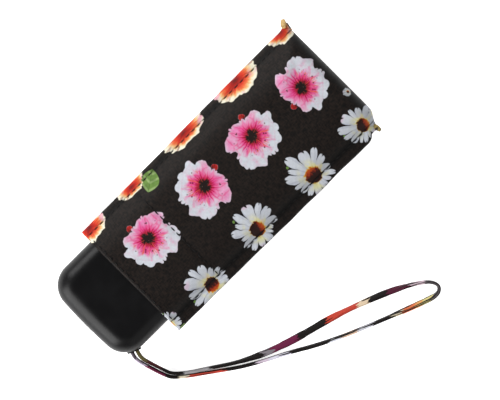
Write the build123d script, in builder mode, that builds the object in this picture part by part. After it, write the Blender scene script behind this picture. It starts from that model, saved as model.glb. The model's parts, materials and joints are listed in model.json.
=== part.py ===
"""A mini flat folding umbrella, stowed in its cloth sleeve and lying flat.

Millimetres, +Z up. The shaft runs along X, with the handle at the -X end and
the umbrella's top at the +X end. The origin is under the middle of the umbrella,
on the surface that it lies on.
"""

import os
from math import atan2, cos, degrees, radians, sin, tan

from build123d import *

# ---- driving dimensions ------------------------------------------------------

closed_length = 153.0
sleeve_height = 27.2
handle_end = -closed_length / 2
top_end = closed_length / 2
axis_height = sleeve_height / 2

# handle
handle_length = 32.0
handle_width = 47.5
handle_thickness = 24.0
handle_corner = 11.0
handle_bulge = 1.2
handle_round = 7.5
handle_wall = 1.8
plug_thickness = 5.0
plug_gap = 0.1
socket_radius = 5.0
socket_start = handle_end + 8.0
shaft_foot = handle_end + 12.0
cross_rivet_place = handle_end + 18.0
cross_rivet_radius = 1.0

# shaft: five round tubes, numbered from the top, each running inside the next
section_count = 5
top_tube_radius = 4.9
tube_wall = 0.4
tube_running_gap = 0.1
tube_start = handle_end + 33.0
tube_end = handle_end + 147.4
tube_stagger = 0.3
inner_tube_setback = 4.0

# frame: six ribs, each of four bars that fold flat beside each other
bar_height = 2.4
bar_thickness = 1.2
layer_pitch = 1.5
rivet_radius = 0.5
rivet_hole_radius = 0.55
top_pivot = handle_end + 143.6
inner_joint = handle_end + 39.6
middle_joint = handle_end + 134.0
outer_joint = handle_end + 39.0
rib_end = handle_end + 132.0
stay_joint = top_pivot - 44.5
runner_pivot = stay_joint - 47.0
ferrule_length = 10.0
rod_radius = 0.6
rod_offset = 0.3
tip_radius = 0.9
tip_length = 4.0
tip_round = 0.5
tip_overhang = 1.0

# Each rib as its name, the place of its bars beside the shaft, the direction it
# opens in, and the direction that its bars are stacked in, all as (y, z).
side_slope = sin(radians(60))
rib_places = {
    "upper_middle": ((0.0, 7.4), (0.0, 1.0), (1.0, 0.0)),
    "upper_left": ((11.0, 4.2), (side_slope, 0.5), (0.5, -side_slope)),
    "upper_right": ((-11.0, 4.2), (-side_slope, 0.5), (-0.5, -side_slope)),
    "lower_middle": ((0.0, -7.4), (0.0, -1.0), (1.0, 0.0)),
    "lower_left": ((11.0, -4.2), (side_slope, -0.5), (0.5, side_slope)),
    "lower_right": ((-11.0, -4.2), (-side_slope, -0.5), (-0.5, side_slope)),
}
lug_layer, stay_layer, inner_layer, second_layer, third_layer, outer_layer = (
    layer_pitch * n for n in range(-3, 3)
)

# top notch, runner and catch
notch_width = 27.4
notch_height = 18.2
notch_start = handle_end + 145.8
notch_end = handle_end + 149.4
slot_length = 3.6
slot_depth = 3.0
slot_shift = 0.6
post_radius = 2.5
cap_length = 18.0
cap_width = 11.0
cap_thickness = 1.5
cap_round = 1.0
cap_gap = 0.2
runner_start = handle_end + 34.6
runner_end = handle_end + 54.0
runner_flange_end = handle_end + 36.9
runner_radius = 5.85
runner_flange_radius = 8.0
runner_running_gap = 0.05
lug_length = 3.6
lug_end = 1.4
middle_lug_root = 4.1
side_lug_root = 6.6
catch_start = handle_end + 96.8
catch_length = 3.6
catch_width = 1.8
catch_proud = 1.0
catch_window_gap = 0.2

# folded canopy and its tie
canopy_start = handle_end + 33.0
canopy_end = handle_end + 150.2
canopy_end_wall = 0.6
canopy_width = 50.4
canopy_height = 23.4
canopy_round = 10.0
cavity_width = 30.0
cavity_height = 20.0
cavity_round = 4.0
canopy_hole_radius = 2.6
tie_start = handle_end + 84.0
tie_width = 14.0
tie_thickness = 0.6

# sleeve
sleeve_mouth = handle_end + 27.0
sleeve_width = 54.2
sleeve_wall = 0.6
sleeve_round = 12.0
flange_thickness = 1.6
flange_rise = 6.5
left_flange = 29.5
right_flange = 30.3
ear_reach = 31.0
ear_length = 3.5

# wrist strap: a narrow folded tape, both ends in the handle
strap_tube_radius = 1.0
strap_height = 1.7
anchor_place = (handle_end + 6.8, -22.92)
anchor_facing = (-0.382, -0.924)
anchor_height = 12.0
anchor_length = 6.4
anchor_width = 4.2
anchor_proud = 0.4
anchor_depth = 3.2
anchor_round = 0.3
anchor_hole_reach = 6.0
strand_offset = 1.15

os.makedirs("parts", exist_ok=True)


def save(piece, name):
    """Label a finished piece and write its STEP file."""
    piece.label = name
    export_step(piece, f"parts/{name}.step")


def across(x, layer, place):
    """A plane at station x, facing along the stack of one rib's bars, through
    the middle of the given layer. Its own x is the shaft's +X."""
    (y, z), _, (stack_y, stack_z) = place
    return Plane(
        origin=(x, y + layer * stack_y, axis_height + z + layer * stack_z),
        x_dir=(1, 0, 0),
        z_dir=(0, stack_y, stack_z),
    )


def outward(place):
    """+1 where the plane's own y points the way that the rib opens, else -1."""
    return 1 if across(0, 0, place).y_dir.dot(Vector(0, *place[1])) > 0 else -1


def section(x):
    """A plane across the shaft at station x, whose own x is the umbrella's +Y."""
    return Plane(origin=(x, 0, axis_height), x_dir=(0, 1, 0), z_dir=(1, 0, 0))


def tube_radius(number):
    """The outside radius of a shaft tube, numbered from the top."""
    return top_tube_radius - (number - 1) * (tube_wall + tube_running_gap)


# ---- handle ------------------------------------------------------------------

handle_start = handle_end + handle_length
half_width = handle_width / 2
cross_rivet_axis = Location((cross_rivet_place, 0, axis_height), (90, 0, 0))
anchor_plane = Plane(
    origin=(*anchor_place, anchor_height),
    x_dir=(-anchor_facing[1], anchor_facing[0], 0),
    z_dir=(*anchor_facing, 0),
)

with BuildPart() as handle_shell:
    with BuildSketch(Plane.XY.offset(axis_height - handle_thickness / 2)):
        with BuildLine():
            Polyline(
                (handle_end + handle_bulge, -half_width),
                (handle_start, -half_width),
                (handle_start, half_width),
                (handle_end + handle_bulge, half_width),
            )
            ThreePointArc(
                (handle_end + handle_bulge, half_width),
                (handle_end, 0),
                (handle_end + handle_bulge, -half_width),
            )
        outline = make_face()
        fillet(outline.vertices().group_by(Axis.X)[0], handle_corner)
    extrude(amount=handle_thickness)
    rims = faces().filter_by(Axis.Z).edges()
    fillet(rims - rims.filter_by(Axis.Y).group_by(Axis.X)[-1], handle_round)
    offset(amount=-handle_wall, openings=faces().sort_by(Axis.X)[-1])
    with BuildSketch(anchor_plane):
        SlotOverall(anchor_length, anchor_width)
    extrude(amount=anchor_hole_reach, both=True, mode=Mode.SUBTRACT)
save(handle_shell.part, "handle_shell")

with BuildPart() as handle_core:
    with BuildSketch(section(handle_start)):
        RectangleRounded(
            handle_width - 2 * (handle_wall + plug_gap),
            handle_thickness - 2 * (handle_wall + plug_gap),
            handle_round - handle_wall - plug_gap,
        )
    extrude(amount=-plug_thickness)
    with BuildSketch(section(socket_start)):
        Circle(socket_radius)
    extrude(until=Until.NEXT)
    with BuildSketch(section(shaft_foot)):
        Circle(tube_radius(section_count))
    extrude(amount=handle_length, mode=Mode.SUBTRACT)
    with Locations(cross_rivet_axis):
        Cylinder(cross_rivet_radius, 4 * socket_radius, mode=Mode.SUBTRACT)
save(handle_core.part, "handle_core")

with BuildPart() as shaft_rivet:
    with Locations(cross_rivet_axis):
        Cylinder(cross_rivet_radius, 2 * socket_radius)
save(shaft_rivet.part, "shaft_rivet")

with BuildPart() as strap_anchor:
    with BuildSketch(anchor_plane.offset(anchor_proud)):
        SlotOverall(anchor_length, anchor_width)
    extrude(amount=-anchor_depth)
    fillet(faces().sort_by(Axis.Y)[0].edges(), anchor_round)
save(strap_anchor.part, "strap_anchor")

# ---- shaft -------------------------------------------------------------------

for number in range(1, section_count + 1):
    radius = tube_radius(number)
    start = tube_start + (number - 1) * tube_stagger
    end = tube_end if number == 1 else tube_end - inner_tube_setback - number * tube_stagger
    if number == section_count:
        start = shaft_foot
    with BuildPart() as tube:
        with BuildSketch(section(start)):
            Circle(radius)
            Circle(radius - tube_wall, mode=Mode.SUBTRACT)
        extrude(amount=end - start)
        if number == section_count:
            with Locations(cross_rivet_axis):
                Cylinder(cross_rivet_radius, 4 * radius, mode=Mode.SUBTRACT)
        if number == 1:
            with Locations((catch_start + catch_length / 2, radius, axis_height)):
                Box(
                    catch_length + 2 * catch_window_gap,
                    4 * tube_wall,
                    catch_width + 2 * catch_window_gap,
                    mode=Mode.SUBTRACT,
                )
    save(tube.part, f"shaft_tube_{number}")

# ---- top notch, its rivets and the cap ---------------------------------------

with BuildPart() as top_notch:
    with BuildSketch(section(notch_start)):
        RectangleRounded(notch_width, notch_height, notch_height / 2 - 0.1)
    extrude(amount=notch_end - notch_start)
    with BuildSketch(section(notch_start)):
        Circle(top_tube_radius)
    extrude(amount=tube_end - notch_start, mode=Mode.SUBTRACT)
    for place in rib_places.values():
        for layer in (stay_layer, second_layer):
            with BuildSketch(across(top_pivot, layer, place)):
                with Locations((slot_shift, 0)):
                    Rectangle(slot_length, slot_depth)
                Circle(rivet_radius, mode=Mode.SUBTRACT)
            extrude(amount=bar_thickness / 2, both=True)
save(top_notch.part, "top_notch")

with BuildPart() as notch_rivets:
    for place in rib_places.values():
        with BuildSketch(across(top_pivot, inner_layer, place)):
            Circle(rivet_radius)
        extrude(amount=layer_pitch + bar_thickness / 2, both=True)
save(notch_rivets.part, "notch_rivets")

with BuildPart() as top_cap:
    with BuildSketch(section(notch_end)):
        Circle(post_radius)
    extrude(amount=canopy_end - notch_end + cap_gap)
    with BuildSketch(section(canopy_end + cap_gap)):
        SlotOverall(cap_length, cap_width)
    extrude(amount=cap_thickness)
    fillet(faces().sort_by(Axis.X)[-1].edges(), cap_round)
save(top_cap.part, "top_cap")

# ---- runner, its rivets and the catch that holds it open ---------------------

with BuildPart() as runner:
    with BuildSketch(section(runner_start)):
        Circle(runner_radius)
    extrude(amount=runner_end - runner_start)
    with BuildSketch(section(runner_start)):
        Circle(runner_flange_radius)
    extrude(amount=runner_flange_end - runner_start)
    for place in rib_places.values():
        middle = place is rib_places["upper_middle"] or place is rib_places["lower_middle"]
        root = middle_lug_root if middle else side_lug_root
        with BuildSketch(across(runner_pivot, lug_layer, place)):
            with Locations((0, outward(place) * (lug_end - root) / 2)):
                Rectangle(lug_length, root + lug_end)
            Circle(rivet_radius, mode=Mode.SUBTRACT)
        extrude(amount=bar_thickness / 2, both=True)
    with BuildSketch(section(runner_start)):
        Circle(top_tube_radius + runner_running_gap)
    extrude(amount=runner_end - runner_start, mode=Mode.SUBTRACT)
save(runner.part, "runner")

with BuildPart() as runner_rivets:
    for place in rib_places.values():
        with BuildSketch(across(runner_pivot, lug_layer, place)):
            Circle(rivet_radius)
        extrude(amount=layer_pitch + bar_thickness / 2)
        with BuildSketch(across(runner_pivot, lug_layer, place)):
            Circle(rivet_radius)
        extrude(amount=-bar_thickness / 2)
save(runner_rivets.part, "runner_rivets")

with BuildPart() as runner_catch:
    inner_face = top_tube_radius - tube_wall
    with BuildSketch(Plane.XY.offset(axis_height - catch_width / 2)):
        with BuildLine():
            Polyline(
                (catch_start, inner_face),
                (catch_start + catch_length, inner_face),
                (catch_start + catch_length, top_tube_radius + catch_proud),
                (catch_start, top_tube_radius),
                close=True,
            )
        make_face()
    extrude(amount=catch_width)
save(runner_catch.part, "runner_catch")

# ---- ribs --------------------------------------------------------------------


def bar(start, end, layer, place, holes):
    """One flat bar of a rib in its layer, with round ends and the given holes."""
    with BuildPart() as flat_bar:
        with BuildSketch(across((start + end) / 2, layer, place)):
            SlotCenterToCenter(abs(end - start), bar_height)
        extrude(amount=bar_thickness / 2, both=True)
        for hole in holes:
            with BuildSketch(across(hole, layer, place)):
                Circle(rivet_hole_radius)
            extrude(amount=bar_thickness, both=True, mode=Mode.SUBTRACT)
    return flat_bar.part


def rivet(x, layer, place):
    """The rivet formed in one bar, which the bar of the next layer turns on."""
    with BuildPart() as formed_rivet:
        with BuildSketch(across(x, layer + bar_thickness / 2, place)):
            Circle(rivet_radius)
        extrude(amount=layer_pitch)
    return formed_rivet.part


for name, place in rib_places.items():
    with BuildPart() as stay:
        add(bar(runner_pivot, stay_joint, stay_layer, place, [runner_pivot, stay_joint]))
    save(stay.part, f"stretcher_{name}")

    with BuildPart() as inner_rib:
        add(bar(top_pivot, inner_joint, inner_layer, place, [top_pivot]))
        add(rivet(inner_joint, inner_layer, place))
    save(inner_rib.part, f"inner_rib_{name}")

    with BuildPart() as second_rib:
        add(bar(inner_joint, middle_joint, second_layer, place, [inner_joint]))
        add(rivet(middle_joint, second_layer, place))
    save(second_rib.part, f"second_rib_{name}")

    with BuildPart() as third_rib:
        add(bar(middle_joint, outer_joint, third_layer, place, [middle_joint]))
        add(rivet(outer_joint, third_layer, place))
    save(third_rib.part, f"third_rib_{name}")

    with BuildPart() as outer_rib:
        add(
            bar(
                outer_joint,
                outer_joint + ferrule_length,
                outer_layer,
                place,
                [outer_joint],
            )
        )
        rod_layer = outer_layer + rod_offset
        (y, z), _, (stack_y, stack_z) = place
        rod_y = y + rod_layer * stack_y
        rod_z = z + rod_layer * stack_z
        with BuildSketch(section(outer_joint + ferrule_length / 2)):
            with Locations((rod_y, rod_z)):
                Circle(rod_radius)
        extrude(amount=rib_end - outer_joint - ferrule_length / 2)
    save(outer_rib.part, f"outer_rib_{name}")

    with BuildPart() as rib_tip:
        with BuildSketch(section(rib_end + tip_overhang - tip_length)):
            with Locations((rod_y, rod_z)):
                Circle(tip_radius)
        extrude(amount=tip_length)
        fillet(faces().sort_by(Axis.X)[-1].edges(), tip_round)
        with BuildSketch(section(rib_end + tip_overhang - tip_length)):
            with Locations((rod_y, rod_z)):
                Circle(rod_radius)
        extrude(amount=tip_length - tip_overhang, mode=Mode.SUBTRACT)
    save(rib_tip.part, f"rib_tip_{name}")

# ---- folded canopy, tie and sleeve -------------------------------------------

with BuildPart() as canopy:
    with BuildSketch(section(canopy_start)):
        RectangleRounded(canopy_width, canopy_height, canopy_round)
    extrude(amount=canopy_end - canopy_start)
    with BuildSketch(section(canopy_start)):
        RectangleRounded(cavity_width, cavity_height, cavity_round)
    extrude(amount=canopy_end - canopy_end_wall - canopy_start, mode=Mode.SUBTRACT)
    with BuildSketch(section(canopy_end)):
        Circle(canopy_hole_radius)
    extrude(amount=-2 * canopy_end_wall, mode=Mode.SUBTRACT)
save(canopy.part, "canopy")

with BuildPart() as tie_strap:
    with BuildSketch(section(tie_start)):
        RectangleRounded(
            canopy_width + 2 * tie_thickness,
            canopy_height + 2 * tie_thickness,
            canopy_round + tie_thickness,
        )
        RectangleRounded(canopy_width, canopy_height, canopy_round, mode=Mode.SUBTRACT)
    extrude(amount=tie_width)
save(tie_strap.part, "tie_strap")

with BuildPart() as sleeve:
    with BuildSketch(section(sleeve_mouth)):
        RectangleRounded(sleeve_width, sleeve_height, sleeve_round)
        with Locations(((left_flange - right_flange) / 2, flange_rise)):
            Rectangle(left_flange + right_flange, flange_thickness)
    extrude(amount=top_end - sleeve_mouth)
    with BuildSketch(section(sleeve_mouth)):
        RectangleRounded(
            sleeve_width - 2 * sleeve_wall,
            sleeve_height - 2 * sleeve_wall,
            sleeve_round - sleeve_wall,
        )
    extrude(amount=top_end - sleeve_wall - sleeve_mouth, mode=Mode.SUBTRACT)
    with BuildSketch(section(top_end - ear_length)):
        with Locations((0, flange_rise)):
            Rectangle(2 * ear_reach, flange_thickness)
            Rectangle(sleeve_width, flange_thickness, mode=Mode.SUBTRACT)
    extrude(amount=ear_length)
save(sleeve.part, "sleeve")

# ---- wrist strap -------------------------------------------------------------

# The route from the handle out to the loop's far end and back, as stations from
# the handle's end, places across and heights. The strap comes out of the
# handle's side, drops to the surface, turns sharply and lies there as a long
# narrow loop.
out_of_handle = [
    (6.56, -26.5, anchor_height),
    (7.70, -30.5, 8.8),
    (8.90, -34.6, 5.4),
    (10.0, -37.9, 2.7),
    (11.6, -41.0, strap_height),
    (17.9, -45.7, strap_height),
    (24.1, -50.1, strap_height),
    (30.2, -54.7, strap_height),
    (36.4, -58.9, strap_height),
    (45.3, -63.9, strap_height),
    (56.2, -67.9, strap_height),
    (66.0, -70.7, strap_height),
    (74.5, -72.8, strap_height),
    (83.7, -75.7, strap_height),
    (94.1, -79.6, strap_height),
    (102.8, -83.2, strap_height),
    (109.4, -86.5, strap_height),
    (115.2, -89.9, strap_height),
    (119.2, -93.4, strap_height),
    (120.3, -96.9, strap_height),
    (117.7, -99.0, strap_height),
    (113.4, -98.1, strap_height),
    (106.1, -95.4, strap_height),
    (96.4, -91.6, strap_height),
    (87.5, -88.0, strap_height),
    (74.8, -82.7, strap_height),
    (63.3, -77.0, strap_height),
    (54.2, -71.6, strap_height),
    (43.5, -66.2, strap_height),
    (34.4, -61.0, strap_height),
    (28.6, -56.9, strap_height),
    (22.4, -52.5, strap_height),
    (16.0, -48.0, strap_height),
    (9.50, -43.1, strap_height),
    (7.80, -38.9, 2.7),
    (6.60, -35.2, 5.4),
    (5.40, -30.9, 8.8),
    (4.44, -25.6, anchor_height),
]
strand_starts = [
    anchor_plane.from_local_coords((side * strand_offset, 0, anchor_proud)) for side in (1, -1)
]
strap_route = [
    strand_starts[0],
    *(Vector(handle_end + x, y, z) for x, y, z in out_of_handle),
    strand_starts[1],
]


def corner_radii(route):
    """The radius of each corner's arc: 0.45 of the shorter run, divided by the
    tangent of half the turn."""
    radii = []
    for before, corner, after in zip(route, route[1:], route[2:]):
        run_in = corner - before
        run_out = after - corner
        half_turn = radians(run_in.get_angle(run_out)) / 2
        radii.append(0.45 * min(run_in.length, run_out.length) / tan(half_turn))
    return radii


strap_radii = corner_radii(strap_route)
with BuildPart() as wrist_strap:
    with BuildLine() as strap_path:
        FilletPolyline(*strap_route, radius=strap_radii)
    with BuildSketch(Plane(origin=strap_path.line @ 0, z_dir=strap_path.line % 0)):
        Circle(strap_tube_radius)
    sweep()
save(wrist_strap.part, "wrist_strap")

# ---- sizes worth knowing -----------------------------------------------------

strap_length = strap_path.wires()[0].length
strap_section = Face(Wire(Edge.make_circle(strap_tube_radius))).area
strap_volume = wrist_strap.part.volume
print("strap length", round(strap_length, 1))
print("strap radii", [round(radius, 1) for radius in strap_radii])
print("strap volume / (section x length)", round(strap_volume / (strap_section * strap_length), 4))

# The open frame: the ribs' first bars stand 80 degrees from the shaft, and the
# stretchers lean so that they still meet them.
open_angle = radians(80)
stay_reach = (top_pivot - stay_joint) * sin(open_angle)
stay_length = stay_joint - runner_pivot
stay_along = (stay_length**2 - stay_reach**2) ** 0.5
runner_travel = top_pivot - (top_pivot - stay_joint) * cos(open_angle) - stay_along - runner_pivot
print("runner travel", round(runner_travel, 3))
print("stretcher angle when open", round(degrees(atan2(stay_reach, stay_along)), 3))
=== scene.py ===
"""Looks of the mini flat folding umbrella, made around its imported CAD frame.

Metres, in the frame's own axes: +X runs along the shaft from the handle to the
umbrella's top, +Z up. Shapes are worked out in millimetres, as stations from the
handle's end, and turned into metres by place().
"""

import collections
import json
import math

import bmesh
import bpy
from mathutils import Matrix, Vector, noise


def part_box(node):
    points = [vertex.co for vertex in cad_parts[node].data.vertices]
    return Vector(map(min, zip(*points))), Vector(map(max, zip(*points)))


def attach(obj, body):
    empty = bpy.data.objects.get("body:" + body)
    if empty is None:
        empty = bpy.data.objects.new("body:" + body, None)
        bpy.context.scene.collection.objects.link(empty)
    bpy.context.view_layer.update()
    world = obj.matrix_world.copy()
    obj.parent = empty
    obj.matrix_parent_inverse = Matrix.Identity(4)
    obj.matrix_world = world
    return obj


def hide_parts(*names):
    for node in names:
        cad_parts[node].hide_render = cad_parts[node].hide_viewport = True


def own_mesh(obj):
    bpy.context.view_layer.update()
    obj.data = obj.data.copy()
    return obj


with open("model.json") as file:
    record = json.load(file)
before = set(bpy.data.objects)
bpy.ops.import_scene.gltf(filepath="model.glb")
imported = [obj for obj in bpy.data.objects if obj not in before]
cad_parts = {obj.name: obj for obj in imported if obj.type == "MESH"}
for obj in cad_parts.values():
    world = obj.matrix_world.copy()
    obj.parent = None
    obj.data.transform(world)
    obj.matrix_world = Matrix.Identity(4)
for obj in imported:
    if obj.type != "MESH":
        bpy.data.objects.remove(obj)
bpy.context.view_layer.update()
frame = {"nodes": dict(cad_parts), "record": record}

MM = 0.001

# ---- places taken from the frame, in millimetres ----------------------------

handle_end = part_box("handle_shell")[0].x / MM
sleeve_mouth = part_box("sleeve")[0].x / MM - handle_end
sleeve_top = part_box("sleeve")[1].x / MM - handle_end
sleeve_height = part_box("sleeve")[1].z / MM
axis_height = (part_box("shaft_tube_1")[0].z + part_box("shaft_tube_1")[1].z) / 2 / MM


def place(station, across, height):
    """A point in metres from a station along the shaft, a distance across it and
    a height above the surface, all in millimetres."""
    return Vector(((handle_end + station) * MM, across * MM, height * MM))


def smooth(value):
    """0 below 0, 1 above 1, and an even turn between."""
    value = min(max(value, 0.0), 1.0)
    return value * value * (3 - 2 * value)


def mix(a, b, share):
    """A value the given share of the way from a to b."""
    return a + (b - a) * share


def bell(offset, width):
    """1 at no offset, and falling off alike on both sides of it."""
    return math.exp(-((offset / width) ** 2))


def squared_off(value, power):
    """A cosine or sine raised to a power with its sign kept, so that a circle
    comes out as a rounded box."""
    return math.copysign(abs(value) ** power, value)


def running_lengths(points):
    """The length along a line of points, up to each of them."""
    lengths = [0.0]
    for before, after in zip(points, points[1:]):
        lengths.append(lengths[-1] + (after - before).length)
    return lengths


def fold_noise(x, y, seed):
    """A soft random height, from -1 to 1, the same in each run."""
    return noise.noise(Vector((x, y, seed)))


# ---- camera ------------------------------------------------------------------

view_width = 0.216
lens = 300.0
sensor = 36.0
view_station = 88.3
view_across = -12.2
looked_at_height = 16.0
camera_turn = -45

camera_data = bpy.data.cameras.new("camera")
camera_data.lens = lens
camera_data.sensor_width = sensor
camera = bpy.data.objects.new("camera", camera_data)
bpy.context.scene.collection.objects.link(camera)
camera.location = place(view_station, view_across, looked_at_height)
camera.location.z += view_width * lens / sensor
camera.rotation_euler = (0, 0, math.radians(camera_turn))
bpy.context.scene.camera = camera

# ---- node helpers ------------------------------------------------------------


class Tree:
    """Adds nodes to a material or a group, and joins them."""

    def __init__(self, tree):
        self.tree = tree

    def join(self, value, socket):
        """Link a node's output to a socket, or set the socket to a plain value."""
        if isinstance(value, bpy.types.NodeSocket):
            self.tree.links.new(value, socket)
        else:
            socket.default_value = value

    def add(self, kind, values=None, **settings):
        """A node with its settings, and its inputs given as values or sockets."""
        node = self.tree.nodes.new(kind)
        for name, setting in settings.items():
            setattr(node, name, setting)
        for name, value in (values or {}).items():
            self.join(value, node.inputs[name])
        return node

    def sum(self, operation, first, second=0.0, third=0.0, clamp=False):
        """One Math node's result."""
        values = {0: first, 1: second, 2: third}
        node = self.add("ShaderNodeMath", values, operation=operation, use_clamp=clamp)
        return node.outputs[0]

    def times(self, first, second):
        """One value times another."""
        return self.sum("MULTIPLY", first, second)

    def scaled(self, value, factor, added):
        """A value times a factor, with another value added."""
        return self.sum("MULTIPLY_ADD", value, factor, added)

    def less(self, first, second, clamp=False):
        """One value less another."""
        return self.sum("SUBTRACT", first, second, clamp=clamp)

    def step(self, value, low, high, to_low=0.0, to_high=1.0):
        """A smooth step of a value from low to high."""
        node = self.add(
            "ShaderNodeMapRange",
            {"Value": value, "From Min": low, "From Max": high, "To Min": to_low, "To Max": to_high},
            interpolation_type="SMOOTHSTEP",
        )
        return node.outputs["Result"]

    def colour(self, share, first, second, blend="MIX"):
        """Two colours mixed by a share."""
        node = self.add("ShaderNodeMix", data_type="RGBA", blend_type=blend)
        for index, value in ((0, share), (6, first), (7, second)):
            self.join((*value, 1.0) if isinstance(value, tuple) else value, node.inputs[index])
        return node.outputs[2]

    def ramp(self, value, stops, mode="LINEAR"):
        """A colour ramp with the given (place, colour) stops."""
        node = self.add("ShaderNodeValToRGB", {"Fac": value})
        ramp = node.color_ramp
        ramp.interpolation = mode
        while len(ramp.elements) < len(stops):
            ramp.elements.new(1.0)
        for element, (where, shade) in zip(ramp.elements, stops):
            element.position = where
            element.color = (*shade, 1.0)
        return node.outputs["Color"]

    def noise(self, vector, scale, detail=2.0, roughness=0.5):
        """A soft noise from 0 to 1."""
        node = self.add(
            "ShaderNodeTexNoise",
            {"Vector": vector, "Scale": scale, "Detail": detail, "Roughness": roughness},
        )
        return node.outputs["Fac"]

    def combine(self, x, y, z=0.0):
        """A vector from its three parts."""
        return self.add("ShaderNodeCombineXYZ", {"X": x, "Y": y, "Z": z}).outputs[0]


def new_group(name, inputs, outputs):
    """An empty node group with named sockets: its tree, inputs and output node."""
    group = bpy.data.node_groups.new(name, "ShaderNodeTree")
    for socket, kind in inputs:
        group.interface.new_socket(socket, in_out="INPUT", socket_type=kind)
    for socket, kind in outputs:
        group.interface.new_socket(socket, in_out="OUTPUT", socket_type=kind)
    tree = Tree(group)
    start = tree.add("NodeGroupInput")
    end = tree.add("NodeGroupOutput")
    return tree, start.outputs, end


FLOAT = "NodeSocketFloat"
VECTOR = "NodeSocketVector"
COLOUR = "NodeSocketColor"

CLOTH_BLACK = (0.0150, 0.0090, 0.0066)
STRAP_BLACK = (0.0065, 0.0045, 0.0040)
PETAL_WHITE = (0.64, 0.67, 0.725)
PETAL_PINK = (0.82, 0.20, 0.47)
DEEP_PINK = (0.74, 0.03, 0.20)
CRIMSON = (0.42, 0.012, 0.035)
DARK_BROWN = (0.012, 0.005, 0.004)
ORANGE_RED = (0.75, 0.10, 0.03)
BUD_RED = (0.50, 0.015, 0.012)
LEAF_GREEN = (0.13, 0.24, 0.045)
BLACK = (0.0, 0.0, 0.0)

# The reach of the blossom's petals round its middle, by degrees from its left,
# anticlockwise, so that 180 is on its right.
BLOSSOM_EDGE = [
    (0, 0.70), (22, 0.86), (34, 0.88), (45, 0.66), (56, 0.78), (72, 0.93), (86, 1.0), (103, 0.95),
    (118, 0.95), (129, 0.76), (138, 0.82), (150, 0.87), (161, 0.78), (174, 0.88), (190, 0.80), (204, 0.84),
    (216, 0.76), (232, 0.90), (252, 0.73), (264, 0.79), (286, 0.62), (318, 0.60), (336, 0.70), (360, 0.70),
]
# How pink its petals are, by the turn from 0 to 1 from its left: the left ones
# are pink and the others white.
BLOSSOM_PINKNESS = [
    (0.0, 0.95), (0.10, 0.80), (0.16, 0.25), (0.30, 0.05), (0.62, 0.03), (0.70, 0.25), (0.79, 0.75),
    (1.0, 0.95),
]
FRILLS = 17
DAISY_PETALS = 14.0


def polar(tree, vector, seed, wobble):
    """The angle from 0 to 1 and the distance of a point on a flower, with its edge
    made uneven, and the plain point."""
    rough = tree.add(
        "ShaderNodeTexNoise",
        {"Vector": vector, "W": seed, "Scale": 4.5, "Detail": 3.0},
        noise_dimensions="4D",
    )
    shift = tree.add(
        "ShaderNodeVectorMath",
        {0: rough.outputs["Color"], 1: (0.5, 0.5, 0.5)},
        operation="SUBTRACT",
    )
    moved = tree.add(
        "ShaderNodeVectorMath",
        {0: shift.outputs[0], 1: (wobble, wobble, 0.0), 2: vector},
        operation="MULTIPLY_ADD",
    )
    parts = tree.add("ShaderNodeSeparateXYZ", {0: moved.outputs[0]})
    turn = tree.sum("ARCTAN2", parts.outputs[1], parts.outputs[0])
    angle = tree.scaled(turn, 1 / math.tau, 0.5)
    across_squared = tree.times(parts.outputs[1], parts.outputs[1])
    squares = tree.scaled(parts.outputs[0], parts.outputs[0], across_squared)
    return angle, tree.sum("SQRT", squares), parts


def around(tree, angle, distance, count, depth):
    """A vector that runs quickly round a flower and slowly outwards."""
    turn = tree.times(angle, math.tau)
    return tree.combine(
        tree.times(tree.sum("COSINE", turn), count),
        tree.times(tree.sum("SINE", turn), count),
        tree.times(distance, depth),
    )


def noise_round(tree, angle, distance, count, depth, detail):
    """A noise that runs out along a flower's petals."""
    return tree.noise(around(tree, angle, distance, count, depth), 1.0, detail)


def spot(tree, parts, x, y, radius):
    """1 inside a small round spot."""
    dx = tree.less(parts.outputs[0], x)
    dy = tree.less(parts.outputs[1], y)
    far = tree.sum("SQRT", tree.scaled(dx, dx, tree.times(dy, dy)))
    return tree.step(far, radius, radius * 0.85)


def outline_curve(tree, angle, points):
    """The distance of a flower's edge at each angle, from a few chosen points."""
    node = tree.add("ShaderNodeFloatCurve", {"Value": angle})
    curve = node.mapping.curves[0]
    while len(curve.points) < len(points):
        curve.points.new(0.5, 0.5)
    for point, (turn, reach) in zip(curve.points, points):
        point.location = (turn / 360, reach)
    node.mapping.update()
    return node.outputs[0]


def flower_group(name):
    """An empty group for one kind of flower: its tree, inputs and output node."""
    return new_group(
        name, [("Place", VECTOR), ("Seed", FLOAT)], [("Colour", COLOUR), ("Petals", FLOAT)]
    )


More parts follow.
